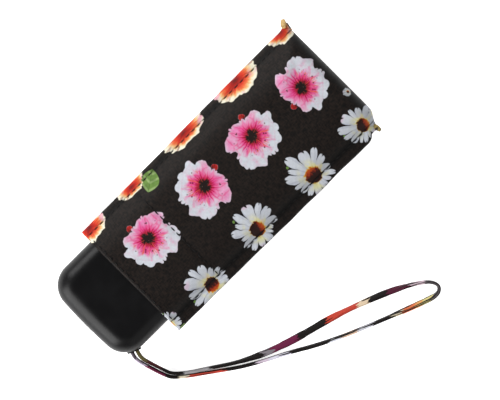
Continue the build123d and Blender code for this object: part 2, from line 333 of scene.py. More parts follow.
def blossom_group():
    """A pink and white blossom, its red bud and its dark heart, one unit across
    from its middle to its longest petal."""
    tree, given, end = flower_group("blossom")
    angle, distance, parts = polar(tree, given["Place"], given["Seed"], 0.13)
    edge = outline_curve(tree, angle, BLOSSOM_EDGE)
    uneven_turn = tree.scaled(noise_round(tree, angle, distance, 1.6, 0.0, 1.0), 0.30, angle)
    frills = tree.sum("ABSOLUTE", tree.sum("SINE", tree.times(uneven_turn, math.pi * FRILLS)))
    frill_change = noise_round(tree, angle, distance, 2.7, 0.0, 1.0)
    frill_depth = tree.step(frill_change, 0.36, 0.62, 0.03, 0.12)
    notched = tree.times(tree.less(1.0, tree.sum("POWER", frills, 0.45)), frill_depth)
    edge = tree.less(edge, notched)
    petals = tree.step(tree.less(edge, distance), 0.0, 0.02)
    rays = noise_round(tree, angle, distance, 3.2, 2.4, 3.0)
    fine_rays = noise_round(tree, angle, distance, 8.0, 2.6, 3.0)
    blotches = tree.noise(given["Place"], 3.0, 2.0)
    pinkness = tree.ramp(angle, [(turn, (grey, grey, grey)) for turn, grey in BLOSSOM_PINKNESS])
    pink = tree.sum("ADD", pinkness, tree.scaled(blotches, 1.8, -1.00), clamp=True)
    inner = tree.scaled(rays, 0.9, tree.less(distance, 0.45))
    pink = tree.sum("MAXIMUM", pink, tree.step(inner, 0.62, 0.36, 0.0, 0.80))
    pink = tree.times(pink, tree.step(tree.less(edge, distance), 0.0, 0.16, 0.45, 1.0))
    petal = tree.colour(pink, PETAL_WHITE, PETAL_PINK)
    # the petals' own edges, and veins running outwards
    lobes = tree.add(
        "ShaderNodeTexVoronoi",
        {"Vector": around(tree, angle, distance, 1.9, 3.2), "Scale": 1.0},
        feature="DISTANCE_TO_EDGE",
    )
    creases = tree.step(lobes.outputs["Distance"], 0.10, 0.0)
    shadow = tree.times(creases, tree.scaled(pink, 0.62, 0.10))
    petal = tree.colour(shadow, petal, DEEP_PINK)
    folds = tree.step(lobes.outputs["Distance"], 0.38, 0.05, 0.0, 0.28)
    petal = tree.colour(tree.times(folds, pink), petal, DEEP_PINK)
    shade_side = tree.step(tree.noise(given["Place"], 5.5, 2.0), 0.48, 0.70)
    petal = tree.colour(tree.times(shade_side, 0.30), petal, (0.50, 0.50, 0.62))
    veins = tree.step(rays, 0.54, 0.66)
    veins = tree.times(veins, tree.scaled(pink, 0.30, 0.06))
    petal = tree.colour(veins, petal, PETAL_PINK)
    # towards the heart: deep pink, then crimson, with orange stamens over both
    uneven = tree.scaled(fine_rays, 0.6, tree.less(distance, 0.30))
    petal = tree.colour(tree.step(uneven, 0.50, 0.24), petal, DEEP_PINK)
    petal = tree.colour(tree.step(uneven, 0.32, 0.20), petal, CRIMSON)
    stamens = tree.times(tree.step(fine_rays, 0.55, 0.61), tree.step(distance, 0.58, 0.42))
    stamens = tree.times(stamens, tree.step(parts.outputs[0], -0.25, 0.10, 0.15, 0.9))
    petal = tree.colour(stamens, petal, ORANGE_RED)
    grains = tree.add("ShaderNodeTexVoronoi", {"Vector": given["Place"], "Scale": 8.5})
    ring = tree.times(tree.step(distance, 0.30, 0.36), tree.step(distance, 0.60, 0.52))
    dots = tree.times(tree.step(grains.outputs["Distance"], 0.24, 0.16), ring)
    petal = tree.colour(dots, petal, (0.06, 0.01, 0.012))
    flecks = tree.step(tree.noise(given["Place"], 24.0), 0.66, 0.70)
    heart_edge = tree.scaled(tree.noise(given["Place"], 9.0, 2.0), 0.22, distance)
    heart = tree.step(tree.scaled(fine_rays, 0.30, heart_edge), 0.465, 0.415)
    petal = tree.colour(heart, petal, DARK_BROWN)
    flecks_in_heart = tree.times(flecks, tree.times(heart, 0.6))
    petal = tree.colour(flecks_in_heart, petal, (0.42, 0.30, 0.22))
    bud = spot(tree, parts, -0.31, 0.56, 0.11)
    only_bud = tree.times(bud, tree.less(1.0, petals))
    bud_shade = tree.step(tree.noise(given["Place"], 7.0), 0.40, 0.62)
    bud_colour = tree.colour(bud_shade, BUD_RED, (0.10, 0.006, 0.006))
    shade = tree.colour(only_bud, petal, bud_colour)
    tree.join(shade, end.inputs["Colour"])
    tree.join(tree.sum("MAXIMUM", petals, bud), end.inputs["Petals"])
    return tree.tree


def daisy_group():
    """A white daisy of narrow petals round a brown and orange heart, seen a little
    from one side: its petals are longer to the right, and its heart is dark on the
    side that its seed turns to."""
    tree, given, end = flower_group("daisy")
    angle, distance, parts = polar(tree, given["Place"], given["Seed"], 0.10)
    bend = noise_round(tree, angle, distance, 0.8, 0.3, 1.0)
    turned = tree.scaled(angle, DAISY_PETALS, tree.times(bend, 2.4))
    cell = tree.sum("FLOOR", turned)
    off = tree.sum("ABSOLUTE", tree.scaled(tree.sum("FRACT", turned), 2.0, -1.0))
    whole_seed = tree.sum("ROUND", tree.times(given["Seed"], 100.0))
    chance = tree.add(
        "ShaderNodeTexWhiteNoise",
        {"Vector": tree.combine(cell, whole_seed)},
        noise_dimensions="3D",
    )
    seen_from_side = tree.sum("COSINE", tree.times(tree.less(angle, 0.5), math.tau))
    reach = tree.scaled(chance.outputs["Value"], 0.22, 0.62)
    reach = tree.scaled(seen_from_side, 0.16, reach)
    rounding = tree.scaled(tree.sum("POWER", off, 3.0), -0.34, 1.0)
    notch = tree.step(off, 0.14, 0.0, 0.0, 0.09)
    edge = tree.times(reach, tree.less(rounding, notch))
    petals = tree.step(tree.less(edge, distance), 0.0, 0.03)
    gap = tree.times(tree.step(off, 0.88, 0.97), tree.step(distance, 0.40, 0.60))
    petals = tree.times(petals, tree.less(1.0, gap))
    # petals of white, greyed at their sides and along a few lines
    lines = noise_round(tree, angle, distance, 9.0, 0.6, 2.0)
    grey = tree.scaled(tree.sum("POWER", off, 4.0), 0.6, tree.step(lines, 0.5, 0.8, 0.0, 0.4))
    petal = tree.colour(grey, PETAL_WHITE, (0.36, 0.38, 0.48))
    warm_side = tree.step(distance, 0.58, 0.28)
    warm = tree.times(warm_side, tree.step(tree.noise(given["Place"], 2.6), 0.46, 0.60))
    petal = tree.colour(tree.times(warm, 0.7), petal, (0.84, 0.78, 0.26))
    blush = tree.step(tree.noise(given["Place"], 1.7, 1.0), 0.62, 0.76)
    petal = tree.colour(tree.times(blush, 0.25), petal, PETAL_PINK)
    # the heart: a thin yellow rim, orange, and dark brown on one side
    grain = tree.noise(given["Place"], 14.0, 3.0)
    round_edge = tree.scaled(grain, 0.16, tree.less(distance, 0.02))
    petal = tree.colour(tree.step(round_edge, 0.34, 0.31), petal, (0.80, 0.52, 0.08))
    petal = tree.colour(tree.step(round_edge, 0.32, 0.27), petal, (0.60, 0.085, 0.010))
    dark_way = tree.times(given["Seed"], math.tau)
    dark_x = tree.sum("COSINE", dark_way)
    dark_y = tree.times(parts.outputs[1], tree.sum("SINE", dark_way))
    side = tree.scaled(parts.outputs[0], dark_x, dark_y)
    mottled = tree.scaled(grain, 0.30, side)
    in_heart = tree.step(round_edge, 0.33, 0.29)
    reddened = tree.times(in_heart, tree.step(mottled, -0.08, 0.10))
    petal = tree.colour(reddened, petal, (0.26, 0.018, 0.006))
    dark = tree.times(in_heart, tree.step(mottled, 0.02, 0.14))
    petal = tree.colour(dark, petal, (0.026, 0.006, 0.004))
    # a green sepal tip shows at one side
    sepal = spot(tree, parts, 0.70, 0.40, 0.045)
    shade = tree.colour(tree.times(sepal, tree.less(1.0, petals)), petal, LEAF_GREEN)
    tree.join(shade, end.inputs["Colour"])
    tree.join(tree.sum("MAXIMUM", petals, sepal), end.inputs["Petals"])
    return tree.tree


def poppy_group():
    """A red and orange flower with a cream edge, which the seams cut through."""
    tree, given, end = flower_group("poppy")
    angle, distance, _ = polar(tree, given["Place"], given["Seed"], 0.22)
    lobes = noise_round(tree, angle, distance, 2.2, 0.4, 1.0)
    edge = tree.scaled(lobes, 0.5, 0.62)
    petals = tree.step(tree.less(edge, distance), 0.0, 0.03)
    rays = noise_round(tree, angle, distance, 9.0, 1.0, 3.0)
    uneven = tree.scaled(rays, 0.35, tree.less(distance, 0.17))
    along = tree.sum("DIVIDE", uneven, edge)
    shade = tree.ramp(
        along,
        [
            (0.0, (0.10, 0.006, 0.005)),
            (0.22, (0.42, 0.012, 0.008)),
            (0.45, (0.68, 0.040, 0.014)),
            (0.62, (0.76, 0.16, 0.05)),
            (0.76, (0.82, 0.52, 0.22)),
            (0.88, (0.82, 0.78, 0.62)),
        ],
    )
    blotches = tree.step(tree.noise(given["Place"], 1.9, 1.0), 0.56, 0.68)
    blush = tree.times(blotches, tree.step(along, 0.5, 0.8))
    shade = tree.colour(tree.times(blush, 0.7), shade, (0.76, 0.30, 0.45))
    creases = tree.step(noise_round(tree, angle, distance, 5.0, 2.0, 2.0), 0.60, 0.70)
    shade = tree.colour(tree.times(creases, 0.65), shade, (0.22, 0.010, 0.006))
    tree.join(shade, end.inputs["Colour"])
    tree.join(petals, end.inputs["Petals"])
    return tree.tree


def leaf_group():
    """A green leaf with a dark middle vein and pale side veins."""
    tree, given, end = flower_group("leaf")
    parts = tree.add("ShaderNodeSeparateXYZ", {0: given["Place"]})
    x, y = parts.outputs[0], parts.outputs[1]
    off_vein = tree.sum("ABSOLUTE", y)
    half = tree.scaled(tree.times(x, x), -0.78, 0.78)
    inside = tree.step(tree.less(half, off_vein), 0.0, 0.05)
    slant = tree.sum("ADD", tree.times(off_vein, 7.0), tree.times(x, -9.0))
    side_veins = tree.step(tree.sum("SINE", slant), 0.2, 1.0, 0.0, 0.6)
    shade = tree.colour(side_veins, LEAF_GREEN, (0.36, 0.48, 0.20))
    shade = tree.colour(tree.step(off_vein, 0.06, 0.0, 0.0, 0.7), shade, (0.06, 0.12, 0.02))
    patches = tree.step(tree.noise(given["Place"], 1.6), 0.45, 0.75, 0.0, 0.6)
    shade = tree.colour(patches, shade, (0.05, 0.10, 0.02))
    tree.join(shade, end.inputs["Colour"])
    tree.join(inside, end.inputs["Petals"])
    return tree.tree


# The kinds of flower, which cloth carries in its "flower" attribute as tenths.
BLOSSOM, DAISY, POPPY, LEAF = 1, 2, 3, 4
KINDS = 10.0


def print_group():
    """The printed cloth's colour: the flower of the given kind, or plain cloth."""
    tree, given, end = new_group(
        "flower_print",
        [("Place", VECTOR), ("Kind", FLOAT), ("Seed", FLOAT)],
        [("Colour", COLOUR), ("Petals", FLOAT)],
    )
    shade = None
    shown = None
    makers = {BLOSSOM: blossom_group, DAISY: daisy_group, POPPY: poppy_group, LEAF: leaf_group}
    for kind, maker in makers.items():
        flower = tree.add("ShaderNodeGroup", node_tree=maker())
        for socket in ("Place", "Seed"):
            tree.join(given[socket], flower.inputs[socket])
        is_kind = tree.sum("COMPARE", given["Kind"], float(kind), 0.4)
        here = tree.times(is_kind, flower.outputs["Petals"])
        first = CLOTH_BLACK if shade is None else shade
        shade = tree.colour(here, first, flower.outputs["Colour"])
        shown = here if shown is None else tree.sum("ADD", shown, here)
    tree.join(shade, end.inputs["Colour"])
    tree.join(shown, end.inputs["Petals"])
    return tree.tree


def weave_group():
    """Height of a plain weave on cloth coordinates in millimetres, a slow mottle,
    and a mask of the darker yarns that run both ways."""
    tree, given, end = new_group(
        "plain_weave",
        [("Cloth", VECTOR), ("Pitch", FLOAT)],
        [("Height", FLOAT), ("Mottle", FLOAT), ("Yarns", FLOAT)],
    )
    parts = tree.add("ShaderNodeSeparateXYZ", {0: given["Cloth"]})
    turns = tree.sum("DIVIDE", math.pi, given["Pitch"])
    warp = tree.sum("SINE", tree.times(parts.outputs[0], turns))
    weft = tree.sum("SINE", tree.times(parts.outputs[1], turns))
    crossing = tree.times(warp, weft)
    slow = tree.noise(given["Cloth"], 0.35, 3.0)
    lengthways = tree.add("ShaderNodeMapping", {"Vector": given["Cloth"], "Scale": (0.45, 2.1, 1.0)})
    crossways = tree.add("ShaderNodeMapping", {"Vector": given["Cloth"], "Scale": (2.1, 0.45, 1.0)})
    warp_yarns = tree.noise(lengthways.outputs[0], 1.0, 2.0, 0.6)
    weft_yarns = tree.noise(crossways.outputs[0], 1.0, 2.0, 0.6)
    yarns = tree.step(tree.sum("ADD", warp_yarns, weft_yarns), 0.80, 1.20)
    tree.join(tree.scaled(crossing, 0.5, 0.5), end.inputs["Height"])
    tree.join(slow, end.inputs["Mottle"])
    tree.join(yarns, end.inputs["Yarns"])
    return tree.tree


def grain_group():
    """Fine moulded grain and light handling marks, on object coordinates."""
    tree, given, end = new_group(
        "moulded_grain",
        [("Place", VECTOR), ("Scale", FLOAT)],
        [("Height", FLOAT), ("Marks", FLOAT)],
    )
    fine = tree.noise(given["Place"], given["Scale"], 2.0, 0.7)
    wide = tree.noise(given["Place"], 90.0, 3.0, 0.6)
    tree.join(fine, end.inputs["Height"])
    tree.join(tree.step(wide, 0.35, 0.75), end.inputs["Marks"])
    return tree.tree


flower_print = print_group()
plain_weave = weave_group()
moulded_grain = grain_group()

# ---- materials ---------------------------------------------------------------


def new_material(name, **shader_values):
    """A material with one Principled shader: its tree and the shader node."""
    material = bpy.data.materials.new(name)
    material.use_nodes = True
    tree = Tree(material.node_tree)
    shader = next(n for n in material.node_tree.nodes if n.type == "BSDF_PRINCIPLED")
    for socket, value in shader_values.items():
        shader.inputs[socket.replace("_", " ")].default_value = value
    return material, tree, shader


def add_bump(tree, shader, height, strength, depth):
    """Bump from a height, up to the given depth in metres."""
    bump = tree.add("ShaderNodeBump", {"Height": height, "Strength": strength, "Distance": depth})
    tree.join(bump.outputs["Normal"], shader.inputs["Normal"])


def printed_cloth(name):
    """Black polyester printed with flowers, with a fine weave and a soft sheen."""
    material, tree, shader = new_material(
        name,
        Sheen_Weight=0.05,
        Sheen_Roughness=0.38,
        Specular_IOR_Level=0.16,
        Sheen_Tint=(0.80, 0.76, 0.72, 1.0),
    )
    motif = tree.add("ShaderNodeUVMap", uv_map="motif").outputs["UV"]
    cloth = tree.add("ShaderNodeUVMap", uv_map="cloth").outputs["UV"]
    flower = tree.add("ShaderNodeAttribute", attribute_name="flower")
    which = tree.add("ShaderNodeSeparateColor", {0: flower.outputs["Color"]})
    printed = tree.add("ShaderNodeGroup", node_tree=flower_print)
    tree.join(motif, printed.inputs["Place"])
    kind = tree.times(which.outputs[0], KINDS)
    tree.join(kind, printed.inputs["Kind"])
    tree.join(which.outputs[1], printed.inputs["Seed"])
    weave = tree.add("ShaderNodeGroup", {"Pitch": 0.42}, node_tree=plain_weave)
    tree.join(cloth, weave.inputs["Cloth"])
    uneven = tree.times(weave.outputs["Mottle"], 0.20)
    uneven = tree.scaled(weave.outputs["Height"], 0.16, uneven)
    darker = tree.colour(uneven, printed.outputs["Colour"], BLACK)
    ground = tree.less(1.0, printed.outputs["Petals"], clamp=True)
    yarn_share = tree.scaled(ground, 0.85, 0.07)
    yarn_shade = tree.times(weave.outputs["Yarns"], yarn_share)
    darker = tree.colour(yarn_shade, darker, BLACK)
    # painted shade in the sewn grooves, over the folded end and along the hem: weaker over flowers, unless
    # the groove is deep
    plain = tree.scaled(printed.outputs["Petals"], -0.80, 0.92)
    line = tree.step(which.outputs[2], 0.88, 0.98, 0.0, 0.85)
    painted_shade_share = tree.sum("MAXIMUM", tree.times(which.outputs[2], plain), line)
    darker = tree.colour(painted_shade_share, darker, BLACK)
    tree.join(darker, shader.inputs["Base Color"])
    rough = tree.scaled(weave.outputs["Mottle"], 0.2, 0.48)
    tree.join(rough, shader.inputs["Roughness"])
    add_bump(tree, shader, weave.outputs["Height"], 0.35, 0.0001)
    return material


def plastic(name, shade, rough, grain_scale, bump):
    """Moulded plastic with a fine grain and faint handling marks."""
    material, tree, shader = new_material(name, Specular_IOR_Level=0.22)
    where = tree.add("ShaderNodeTexCoord").outputs["Object"]
    grain = tree.add("ShaderNodeGroup", {"Scale": grain_scale}, node_tree=moulded_grain)
    tree.join(where, grain.inputs["Place"])
    lighter = tuple(min(1.0, c * 1.35) for c in shade)
    tree.join(tree.colour(grain.outputs["Marks"], shade, lighter), shader.inputs["Base Color"])
    tree.join(tree.scaled(grain.outputs["Marks"], 0.07, rough), shader.inputs["Roughness"])
    add_bump(tree, shader, grain.outputs["Height"], bump, 0.00008)
    return material


def metal(name, shade, rough, stretch):
    """Drawn metal, with fine lines along the shaft."""
    material, tree, shader = new_material(name, Metallic=1.0)
    where = tree.add("ShaderNodeTexCoord").outputs["Object"]
    lines = tree.add("ShaderNodeMapping", {"Vector": where, "Scale": stretch})
    streaks = tree.noise(lines.outputs[0], 1.0, 3.0)
    marks = tree.noise(where, 160.0, 2.0)
    tone = tree.scaled(streaks, 0.5, tree.times(marks, 0.3))
    darker = tuple(c * 0.62 for c in shade)
    tree.join(tree.colour(tone, shade, darker), shader.inputs["Base Color"])
    tree.join(tree.scaled(tone, 0.22, rough), shader.inputs["Roughness"])
    add_bump(tree, shader, streaks, 0.15, 0.00005)
    return material


def thread_material():
    """Black sewing thread, with its plies."""
    material, tree, shader = new_material("black_thread", Roughness=0.75, Specular_IOR_Level=0.15)
    where = tree.add("ShaderNodeTexCoord").outputs["Object"]
    plies = tree.noise(where, 2600.0, 2.0)
    shade = tree.colour(plies, (0.002, 0.002, 0.002), (0.012, 0.011, 0.011))
    tree.join(shade, shader.inputs["Base Color"])
    add_bump(tree, shader, plies, 0.4, 0.0001)
    return material


soft_touch = plastic("soft_touch_black", (0.0016, 0.0015, 0.0018), 0.33, 2600.0, 0.04)
moulded_black = plastic("moulded_black", (0.012, 0.012, 0.012), 0.38, 1500.0, 0.10)
glass_fibre = plastic("pultruded_glass_fibre", (0.016, 0.016, 0.017), 0.30, 900.0, 0.12)
drawn_steel = metal("drawn_steel", (0.60, 0.60, 0.61), 0.18, (40.0, 2600.0, 2600.0))
rivet_steel = metal("rivet_steel", (0.56, 0.56, 0.56), 0.22, (900.0, 900.0, 900.0))
rolled_aluminium = metal("rolled_aluminium", (0.46, 0.46, 0.48), 0.26, (60.0, 2200.0, 2200.0))
sleeve_print = printed_cloth("sleeve_print")
black_thread = thread_material()

slot_materials = {
    "handle_plastic": soft_touch,
    "frame_plastic": moulded_black,
    "shaft_steel": drawn_steel,
    "rivet_steel": rivet_steel,
    "rib_aluminium": rolled_aluminium,
    "rib_fibreglass": glass_fibre,
    "canopy_cloth": sleeve_print,
    "sleeve_cloth": sleeve_print,
    "strap_cloth": sleeve_print,
}
for entry in frame["record"]["subparts"]:
    node = frame["nodes"][entry["node"]]
    node.data.materials.clear()
    node.data.materials.append(slot_materials[entry["material_slot"]])

# ---- shared makers of pieces -------------------------------------------------


def finish_piece(mesh, name, material, body):
    """A mesh as a finished piece, riding on a body."""
    data = bpy.data.meshes.new(name)
    mesh.to_mesh(data)
    mesh.free()
    for polygon in data.polygons:
        polygon.use_smooth = True
    data.materials.append(material)
    piece = bpy.data.objects.new(name, data)
    bpy.context.scene.collection.objects.link(piece)
    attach(piece, body)
    return piece


# A printed flower: its middle and radius on the flat cloth in mm, its turn in
# degrees, and how narrow it is drawn across.
Flower = collections.namedtuple(
    "Flower", "kind along across radius turn mirrored seed narrow", defaults=[1.0]
)


def paint_flowers(mesh, cloth_of, flowers_of, painted_shade_of=lambda point: 0.0, girth=None):
    """Give each corner of a cloth mesh its cloth coordinates, and its place on the
    nearest flower. cloth_of gives a vertex's point on the flat cloth in mm,
    flowers_of the flowers printed where a face is, and the third one the painted
    shade of grooves and the folded end at a point, from 0 to 1. Cloth that closes
    on itself has a girth: the face that closes it takes its far side one turn further on."""
    cloth_map = mesh.loops.layers.uv.new("cloth")
    motif_map = mesh.loops.layers.uv.new("motif")
    shades = mesh.loops.layers.float_color.new("flower")
    for face in mesh.faces:
        points = [cloth_of[vert] for vert in face.verts]
        if girth and max(p.y for p in points) - min(p.y for p in points) > girth / 2:
            points = [p + Vector((0.0, girth if p.y < 0 else 0.0)) for p in points]
        middle = sum(points, Vector((0.0, 0.0))) / len(points)
        nearest = min(
            flowers_of(face),
            key=lambda f: ((middle.x - f.along) ** 2 + ((middle.y - f.across) / f.narrow) ** 2) / f.radius**2,
        )
        back = Matrix.Rotation(-math.radians(nearest.turn), 2)
        for loop, point in zip(face.loops, points):
            local = point - Vector((nearest.along, nearest.across))
            local.y /= nearest.narrow
            local = back @ local / nearest.radius
            if nearest.mirrored:
                local.x = -local.x
            loop[cloth_map].uv = point
            loop[motif_map].uv = local
            # the flower attribute carries the flower's kind, its seed and the painted shade
            loop[shades] = (nearest.kind / KINDS, nearest.seed, painted_shade_of(point), 1.0)


# ---- sleeve ------------------------------------------------------------------

# Across the front, from the right flange's tip to the left one's, in mm. Both
# seams are sewn through, and a flange of folded cloth stands outside each.
column_pitch = 0.75
right_tip = -30.5
right_seam = -26.0
left_seam = 26.5
left_tip = 29.5
left_seam_height = 19.5
right_seam_height = 21.0
crown_height = sleeve_height - 0.15
crown_power = 5.0
fold_height = 15.5
fold_start = sleeve_top - 8.5
rounded_end = 13.0
seam_gap = 0.3
flange_gap = 0.55
hem_line = 56.0
stitch_pitch = 3.3
stitch_reach = 1.2
stitch_length = 2.6
stitch_thickness = 0.56
stitch_lift = 0.1
lowest_cloth = 0.47
back_half_width = 27.0
back_steps = 160
back_power = 2 / 3
pucker_reach = 4.5
top_dip_station = 143
sleeve_rows = 260


def seam_height(across):
    """Height of the front's base line, from seam to seam."""
    return mix(right_seam_height, left_seam_height, (across - right_seam) / (left_seam - right_seam))


def front_height(across):
    """Height of the sleeve's taut front panel."""
    share = 2 * (across - right_seam) / (left_seam - right_seam) - 1
    base = seam_height(across)
    return base + (crown_height - base) * (1 - abs(share) ** crown_power)


def back_curve():
    """The sleeve's section from the right seam, under the umbrella, to the left
    seam, as points at even distances with their lengths along the curve."""
    half_height = axis_height
    start = math.asin(((right_seam_height - axis_height) / half_height) ** 1.5)
    stop = math.asin(((left_seam_height - axis_height) / half_height) ** 1.5)
    points = [Vector((right_seam, right_seam_height - seam_gap))]
    for step in range(1, back_steps):
        turn = mix(math.pi - start, math.tau + stop, step / back_steps)
        across = back_half_width * squared_off(math.cos(turn), back_power)
        height = axis_height + half_height * squared_off(math.sin(turn), back_power)
        points.append(Vector((across, height)))
    points.append(Vector((left_seam, left_seam_height - seam_gap)))
    return points, running_lengths(points)


back_points, back_lengths = back_curve()


def back_point(share):
    """A point of the back's section, by its share of the curve's length."""
    wanted = share * back_lengths[-1]
    index = next(i for i in range(1, len(back_lengths)) if back_lengths[i] >= wanted - 1e-9)
    span = back_lengths[index] - back_lengths[index - 1]
    part = (wanted - back_lengths[index - 1]) / span
    return back_points[index - 1].lerp(back_points[index], part)


def off_seams(share):
    """0 at both seams, and 1 from an eighth of the way between them inwards."""
    return min(share * 8, (1 - share) * 8, 1.0)


def creases(station, across):
    """Soft folds of the taut front, in mm: slow dents, short puckers beside the
    seams, a fold that runs in from the top left corner, a dip across the top, the
    hem's step and groove, and the right seam's groove."""
    slow = 0.42 * fold_noise(station * 0.035, across * 0.075, 3.1)
    drag = 0.25 * fold_noise(station * 0.02 + across * 0.05, across * 0.16 - station * 0.03, 7.7)
    near_left = math.exp(-(left_seam - across) / pucker_reach)
    near_right = math.exp(-(across - right_seam) / pucker_reach)
    puckers = fold_noise(station * 0.33, across * 0.05, 1.3) * 0.5 * (near_left + near_right)
    corner = (station - sleeve_top) * 0.6 + (left_seam - across) * 0.8
    run = math.hypot(station - sleeve_top, left_seam - across)
    corner_fold = 0.9 * bell(corner, 2.6) * smooth(run / 6) * smooth((34 - run) / 22)
    top_dip = -0.5 * bell(station - top_dip_station, 5) * smooth((across + 24) / 12)
    hem_step = 0.22 * smooth((hem_line + 0.6 - station) / 1.2)
    hem_groove = -0.25 * bell(station - hem_line, 0.9)
    seam_groove = -1.6 * bell(across - right_seam - 1.1, 1.4)
    return slow + drag + puckers + corner_fold + top_dip + hem_step + hem_groove + seam_groove


def sleeve_point(strip, column):
    """One point of the sleeve. strip runs from -1 at the front's mouth, through 0
    at the fold over the top, to 1 at the back's mouth, and column is across in mm
    on the flat front. The second value is the point on the flat cloth."""
    front = strip <= 0
    straight = fold_start - sleeve_mouth
    along = (1 - abs(strip)) * (straight + rounded_end)
    if along <= straight:
        station = sleeve_mouth + along
        full = 1.0
    else:
        turn = (along - straight) / rounded_end * math.pi / 2
        station = fold_start + (sleeve_top - fold_start) * math.sin(turn) ** 0.85
        full = max(math.cos(turn), 0.0) ** 0.75
    share = (column - right_seam) / (left_seam - right_seam)
    flat_across = column
    if 0 <= share <= 1:
        if front:
            across = column
            height = front_height(column)
            height += creases(station, column) * off_seams(share)
            if share in (0.0, 1.0):
                height = seam_height(column) + seam_gap
        else:
            point = back_point(share)
            across = point.x
            height = max(point.y, 0.0)
            flat_across = (share - 0.5) * back_lengths[-1]
            dent = 0.35 * fold_noise(station * 0.05, flat_across * 0.06, 9.3)
            inward = smooth(height / 6) * off_seams(share)
            across -= math.copysign(dent * inward, across)
    else:
        side = -1 if share < 0 else 1
        seam = right_seam if share < 0 else left_seam
        tip = right_tip if share < 0 else left_tip
        out = (column - seam) / (tip - seam)
        droop = 0.9 if share < 0 else 1.3
        wave = 0.35 * fold_noise(station * 0.12, side * 4.0, 5.5) * out
        pinch = 0.16 * math.cos(math.tau * station / stitch_pitch) * (1 - out)
        across = column + 0.3 * fold_noise(station * 0.1, side * 9.0, 2.2) * out
        if share < 0:
            across = mix(across, seam, 0.42 * smooth((station - 141.5) / 7))
        gap = mix(seam_gap, flange_gap, math.sin(out * math.pi)) * (0.0 if out > 0.99 else 1.0)
        height = seam_height(seam) - droop * out + wave + pinch + (gap if front else -gap)
    # the sleeve is a little wider at its top, and its right top corner is round
    across *= mix(0.995, 1.02, smooth((station - sleeve_mouth) / 120))
    height = mix(fold_height, height, full)
    round_corner = smooth((-20.5 - across) / 9)
    pull_back = round_corner * smooth((station - 143) / 9)
    station -= 4.0 * pull_back
    left_ear = math.exp(-(((station - sleeve_top) / 2.6) ** 2) - ((across - 30.0) / 2.2) ** 2)
    station += 0.7 * left_ear
    across += 1.1 * left_ear
    right_ear = math.exp(-(((station - 149.5) / 2.2) ** 2) - ((across + 31.0) / 2.0) ** 2)
    across -= 0.8 * right_ear
    station += 0.5 * right_ear
    return place(station, across, max(height, lowest_cloth)), Vector((station, flat_across))


front_flowers = [
    Flower(BLOSSOM, 45.8, 7.0, 14.4, 47, True, 0.11),
    Flower(BLOSSOM, 78.6, 5.8, 14.7, -45, True, 0.11),
    Flower(BLOSSOM, 108.2, 6.4, 14.7, -45, False, 0.11),
    Flower(BLOSSOM, 138.1, 6.2, 13.9, 141, True, 0.11),
    Flower(DAISY, 25.6, -26.4, 7.4, 45, False, 0.37),
    Flower(DAISY, 50.9, -26.5, 12.8, 150, False, 0.83),
    Flower(DAISY, 81.8, -23.2, 13.2, 90, False, 0.22),
    Flower(DAISY, 115.2, -23.6, 14.4, 90, False, 0.50),
    Flower(DAISY, 145.5, -23.4, 11.6, 135, False, 0.07),
    Flower(POPPY, 30.5, 28.4, 9.6, 10, False, 0.30, 0.72),
    Flower(POPPY, 56.0, 28.0, 8.5, 0, False, 0.52, 0.50),
    Flower(POPPY, 88.3, 28.3, 12.5, 0, False, 0.12, 0.46),
    Flower(POPPY, 120.0, 28.3, 13.0, 180, False, 0.72, 0.62),
    Flower(POPPY, 148.5, 29.4, 8.5, 160, False, 0.91, 0.70),
    Flower(LEAF, 63.8, 24.0, 5.2, 35, False, 0.5),
    Flower(LEAF, 29.0, -31.0, 2.4, 20, False, 0.3),
    Flower(DAISY, 151.0, -8.9, 2.5, 150, False, 0.2),
    Flower(DAISY, 153.4, -23.0, 5.2, 200, False, 0.6),
]
back_flowers = [
    Flower(
        f.kind, 178.0 - f.along, f.across * 1.25 + 2.0, f.radius, f.turn + 75, not f.mirrored, f.seed + 0.03
    )
    for f in front_flowers
    if f.radius > 5
]
back_flowers += [
    Flower(POPPY, 70.0, -37.0, 11.0, 15, False, 0.44),
    Flower(DAISY, 106.0, -39.0, 12.0, 30, False, 0.58),
]


def painted_groove_shade_at(point):
    """How much painted shade a point of the flat front gets, from 0 to 1: in the
    sewn grooves beside the seams, over the folded end, and along the hem line."""
    right = bell(point.y - right_seam - 0.7, 1.5)
    left = bell(point.y - left_seam + 0.1, 0.9)
    end = 0.86 * smooth((point.x - sleeve_top + 4.6) / 2.4)
    hem = 0.5 * bell(point.x - hem_line, 0.5)
    return max(right, left, end, hem)


